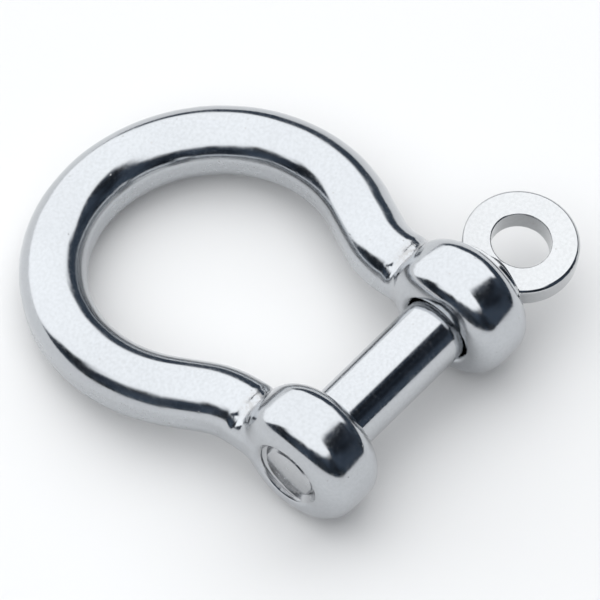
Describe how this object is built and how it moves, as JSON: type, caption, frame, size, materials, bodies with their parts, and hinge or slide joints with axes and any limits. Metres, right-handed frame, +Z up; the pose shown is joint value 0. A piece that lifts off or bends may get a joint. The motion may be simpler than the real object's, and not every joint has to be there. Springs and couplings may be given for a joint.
{
  "type": "bow shackle with screw pin",
  "caption": "Forged bow shackle in polished steel with a plain and a threaded eye, closed by a round screw pin with a flat ring head",
  "frame": {"origin": "middle of the jaw on the pin's axis", "axes": "+X along the pin towards its ring head, +Y towards the bow's crown, +Z up, square to the bow's plane"},
  "size_m": [0.0522, 0.0561, 0.016],
  "materials": {
    "bow_steel": "mirror polished forged stainless steel",
    "pin_steel": "mirror polished turned stainless steel"
  },
  "bodies": {
    "bow": {"bow": "bow_steel"},
    "shank": {"pin_shank": "pin_steel"},
    "turning_pin": {"pin_ring": "pin_steel", "pin_thread": "pin_steel"}
  },
  "joints": [
    {"name": "pin_travel", "type": "slide", "parent": "bow", "child": "shank", "axis": [1, 0, 0], "range_m": [0, 0.0337]},
    {"name": "pin_turn", "type": "hinge", "parent": "shank", "child": "turning_pin", "pos_m": [0, 0, 0], "axis": [1, 0, 0], "range_deg": [0, 9720]}
  ],
  "couplings": [
    {"joint": "pin_turn", "follows": "pin_travel", "rad_per_m": 5026.5}
  ]
}
